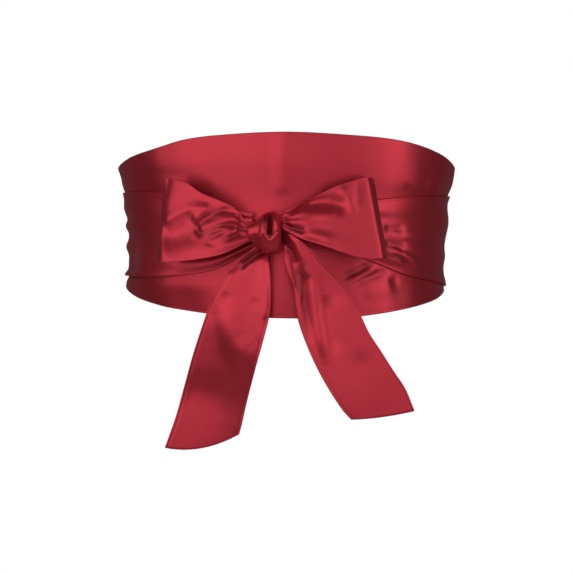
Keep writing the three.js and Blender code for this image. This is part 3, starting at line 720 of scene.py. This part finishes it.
def loopFace(rows, creases, rootX, side, seed):
    total = rows["at"][-1]

    def face(u, v):
        across = 2 * v - 1
        at = u * total
        row = tableAt(rows, at)
        ahead, behind = tableAt(rows, at + directionStep), tableAt(rows, at - directionStep)
        dReach, dDepth = ahead["reach"] - behind["reach"], ahead["depth"] - behind["depth"]
        size = np.hypot(dReach, dDepth)
        x = rootX + side * (row["reach"] - across * row["lean"])
        z = row["rise"] + across * row["half"]
        height = ripple(at, z, seed=seed, **loopRipple)
        for pleat in eachRow(neckPleats):
            height += row["pleat"] * pleat["rise"] * hump(across - pleat["place"], pleat["spread"])
        inFront = 1 - blendBetween(u, loopTurn["start"], loopTurn["end"])
        creased = inFront * blendBetween(at, loopNeck["end"], loopNeck["full"])
        height += creased * creaseHeight(creases, x, z) + edgeSeam(v, 2 * row["half"], loops["seam"])
        normals = np.stack([-side * dDepth / size, -dReach / size, np.zeros_like(x)], axis=-1)
        y = inFront * loopTip["slope"] * (z - loopTip["level"]) - row["depth"]
        points = np.stack([x, y, z], axis=-1) + normals * height[:, None]
        return points, normals, creased * grooveShadeMask(creases, x, z)

    return face


# The tails

tails = dict(wall=1.2, grid=(120, 48), seam=0.22, bowFrom=0.75)  # the cut end bows from this share
tailRipple = dict(height=0.12, wavelength=60.0, stretch=0.7)
leftTail = table(
    "at leftX leftZ rightX rightZ depth twist hollow",
    (0, -19.5, -9, -12, -14.5, 107.5, 0, 0.3),
    (8, -22.5, -15, -13.2, -20.5, 108.8, 0.8, 0.8),
    (17, -28.6, -20.4, -12.8, -26.6, 111.5, 1.5, 1.4),
    (26, -35.3, -26.6, -11.9, -33.8, 112.8, 2, 1.5),
    (38, -42.5, -34.6, -11.2, -43.9, 113.2, 2, 1),
    (50, -49, -45.5, -11.2, -54.8, 113, 1.8, 0.6),
    (62, -54.5, -54.9, -12.3, -65.7, 112.7, 1.6, 0.2),
    (80, -60, -70.1, -16.3, -81.7, 111.9, 2, 0),
    (105, -67.7, -93.4, -22.8, -105, 108.6, 2.2, 0),
    (130, -74.3, -116.7, -28.7, -128.4, 104.6, 1, 0),
    (152, -80.9, -140, -32.7, -146, 102.8, 0.6, 0),
    (168, -88.9, -162.5, -34.5, -152.4, 102, 0.5, 0),
)
rightTail = table(
    "at leftX leftZ rightX rightZ depth twist hollow",
    (0, -9, -14, -9, -5, 108, 0, 0.2),
    (6, -3.6, -16, -3.8, -4.5, 108.6, 0.4, 0.6),
    (12, -1.6, -20.2, 2, -6.4, 110.6, 0.9, 1.1),
    (20, -0.6, -26.6, 8.3, -10, 112.4, 1.4, 1.5),
    (30, 1.4, -33.8, 17.6, -17.8, 113.2, 1.6, 1.4),
    (42, 4.3, -41.8, 28, -29.3, 113.2, 1.6, 1),
    (52, 6.1, -50.5, 37.2, -38.6, 113, 1.6, 0.7),
    (63, 6.9, -59.9, 44.4, -48, 112.9, 1.6, 0.5),
    (74, 8.7, -70.1, 50.9, -59.3, 113, 1.6, 0.2),
    (91, 14.1, -85.5, 59, -76.7, 113.5, 1.6, 0),
    (109, 21.4, -102, 68.4, -91.2, 114.4, 1.6, 0),
    (128, 30.8, -118.9, 77.2, -105.1, 115.4, 1.6, 0),
    (144, 40.3, -133.2, 85.6, -117.9, 116.2, 1.6, 0),
    (154, 46.5, -140, 92.0, -133.4, 116.6, 1.6, 0),
)
leftHollow = dict(place=0.25, spread=0.5, endBow=5.2)
rightHollow = dict(place=-0.3, spread=0.42, endBow=1.2)
leftTailCreases = [
    crease((-17, -14.5), (-26.5, -18.5), (-33.5, -25), (-42, -34.5), rise=1.6, spread=2.8, fade=0.15),
    crease((-13, -18.5), (-22, -22.3), (-27.5, -26), (-33.5, -32), rise=-2.6, spread=(2.2, 4)),
    crease((-14.5, -24), (-13.5, -32.5), (-13, -41), (-14, -54), (-16, -68), rise=0.8, spread=2.2, fade=0.1),
    crease((-41, -49), (-46, -54), rise=-0.6, spread=3.4),
    crease((-25, -58), (-20.5, -53.5), rise=-0.4, spread=3),
    crease(
        (-43.5, -54), (-42.7, -72), (-39.2, -84), (-31.2, -93), (-20.5, -98.5),
        rise=1.8, spread=10, fade=0.3,
    ),
    # a step: to one side the cloth stays sunk out to the tail's edge
    crease(
        (-75, -25), (-61, -52), (-55, -66), (-52, -82), (-47, -95), (-40, -106), (-30, -118), (-14, -136),
        rise=-2.8, spread=(8, 400), fade=0.02,
    ),
    crease((-74, -116), (-60, -124), (-44, -122), rise=-1, spread=(12, 20), fade=0.3),
]
rightTailCreases = [
    crease((-3, -4), (7.5, -12.5), (12, -25), (15.5, -39), rise=1.7, spread=(3.2, 2.4), fade=0.15),
    crease((1, -14), (5, -20.5), (7.5, -28), rise=-2.4, spread=2.4),
    crease((-2, -20), (1, -26.5), (3, -36), (6, -47), (7, -59.5), (8.5, -70), rise=1.3, spread=2.2),
    crease((7, -19.5), (10.5, -35.5), (9.8, -50), (8.6, -57), rise=1, spread=2, fade=0.3),
    crease((2.5, -24), (6, -38), (7.6, -50), rise=-1.2, spread=1.8),
    crease((8.5, -27), (11, -42), (13, -57), (16.5, -80), rise=-2.5, spread=3.2, fade=0.35),
    crease((17, -33), (21, -59.5), (23.5, -77), (27, -96), rise=2.2, spread=3.4),
    crease((26.5, -50), (30.5, -75.5), (36, -94), rise=-1.1, spread=5),
    crease((36, -50), (48, -78), (58, -98), rise=0.9, spread=7),
]


def tailFace(rows, hollow, creases, seed):
    def face(u, v):
        row = tableAt(rows, u * rows["at"][-1])
        across = 2 * v - 1
        bow = hollow["endBow"] * blendBetween(u, tails["bowFrom"], 1.0) * (1 - across**2)
        x = row["leftX"] + v * (row["rightX"] - row["leftX"])
        z = row["leftZ"] + v * (row["rightZ"] - row["leftZ"]) - bow
        width = np.hypot(row["rightX"] - row["leftX"], row["rightZ"] - row["leftZ"])
        sunk = row["hollow"] * hump(across - hollow["place"], hollow["spread"])
        height = creaseHeight(creases, x, z) - sunk + edgeSeam(v, width, tails["seam"])
        height += ripple(x, z, seed=seed, **tailRipple)
        normals = np.stack([np.zeros_like(x), -np.ones_like(x), np.zeros_like(x)], axis=-1)
        points = np.stack([x, -(row["depth"] + row["twist"] * across + height), z], axis=-1)
        return points, normals, grooveShadeMask(creases, x, z)

    return face


# The knot: one turn of the tie round the bow's middle, its ends lapped behind

knot = dict(wall=1.2, grid=(96, 56), depth=112.5, lap=0.14, lapFrom=0.8)  # shares of size and turn
knotSections = table(
    "at middle half deep",
    (-28.2, -4.6, 3.6, 3),
    (-27, -5.1, 5.4, 5),
    (-22, -5.6, 9, 8),
    (-16.5, -5.5, 13.4, 10.4),
    (-13, -5.6, 14.8, 11),
    (-9, -5.4, 15.4, 11),
    (-6, -6.6, 13.6, 9.6),
    (-4.4, -7, 10.5, 7),
)
knotCreases = [
    crease((-16.6, 9), (-16.4, 0.7), (-17.3, -5), (-18.2, -11), rise=1.7, spread=(1.2, 1.7), fade=0.1),
    crease((-15.2, 7), (-15.8, -3.6), rise=-1.1, spread=0.9),
    crease(
        (-14.2, 10), (-14.5, -2), (-15.2, -5.7), (-13.9, -9.3), (-11.8, -11), (-9.5, -9.6),
        (-7.1, -6.4), (-5, -4),
        rise=1.6, spread=1.4, fade=0.08,
    ),
    crease((-12.2, 14), (-11.9, 5), (-12.1, -2), (-12.3, -7.5), rise=-5, spread=2.1, fade=0.12),
    crease((-9.4, 12), (-7.6, 1), (-6.2, -6.4), (-5.4, -15), rise=1.5, spread=1.5, fade=0.1),
    crease((-24, -6), (-18.5, -14), rise=-0.8, spread=2.4),
]


def knotFace(u, v):
    x = knotSections["at"][0] + v * (knotSections["at"][-1] - knotSections["at"][0])
    section = tableAt(knotSections, x)
    angle = (2 * u - 1) * math.pi
    lapped = 1 + knot["lap"] * blendBetween(u, knot["lapFrom"], 1.0)
    facing = np.sqrt(np.maximum(np.cos(angle), 0.0))
    z = section["middle"] + (section["half"] - knot["wall"]) * np.sin(angle) * lapped
    fold = creaseHeight(knotCreases, x, z) * facing
    y = -(knot["depth"] + (section["deep"] - knot["wall"]) * np.cos(angle) * lapped + fold)
    normals = np.stack([np.zeros_like(x), -np.cos(angle), np.sin(angle)], axis=-1)
    return np.stack([x, y, z], axis=-1), normals, facing * grooveShadeMask(knotCreases, x, z)


# Making every piece, and hiding the CAD part that each one replaces

frontPanel = makeSheet("front_panel_satin", panel, panelFace, (0.136, 0.430))
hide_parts("front_panel")
print("front panel done")

wrapLeftFace = wrapFace(leftWrap, leftFolds, side=1, seed=11)
wrapLeft = makeSheet("tie_wrap_left_satin", ties, wrapLeftFace, (0.070, 0.451))
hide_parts("tie_wrap_left")
wrapRightFace = wrapFace(rightWrap, rightFolds, side=-1, seed=12)
wrapRight = makeSheet("tie_wrap_right_satin", ties, wrapRightFace, (0.070, 0.482))
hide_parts("tie_wrap_right")
print("ties done")

loopLeftFace = loopFace(leftLoop, leftLoopCreases, loops["leftRoot"], side=-1, seed=21)
loopLeft = makeSheet("bow_loop_left_satin", loops, loopLeftFace, (0.062, 0.146))
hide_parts("bow_loop_left")
loopRightFace = loopFace(rightLoop, rightLoopCreases, loops["rightRoot"], side=1, seed=22)
loopRight = makeSheet("bow_loop_right_satin", loops, loopRightFace, (0.060, 0.164))
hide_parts("bow_loop_right")
print("loops done")

tailLeftFace = tailFace(leftTail, leftHollow, leftTailCreases, seed=31)
tailLeft = makeSheet("tail_left_satin", tails, tailLeftFace, (0.055, 0.165))
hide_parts("tail_left")
tailRightFace = tailFace(rightTail, rightHollow, rightTailCreases, seed=32)
tailRight = makeSheet("tail_right_satin", tails, tailRightFace, (0.052, 0.153))
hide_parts("tail_right")
print("tails done")

turn = makeSheet("bow_knot_satin", knot, knotFace, (0.030, 0.075))
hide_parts("bow_knot")
print("knot done")
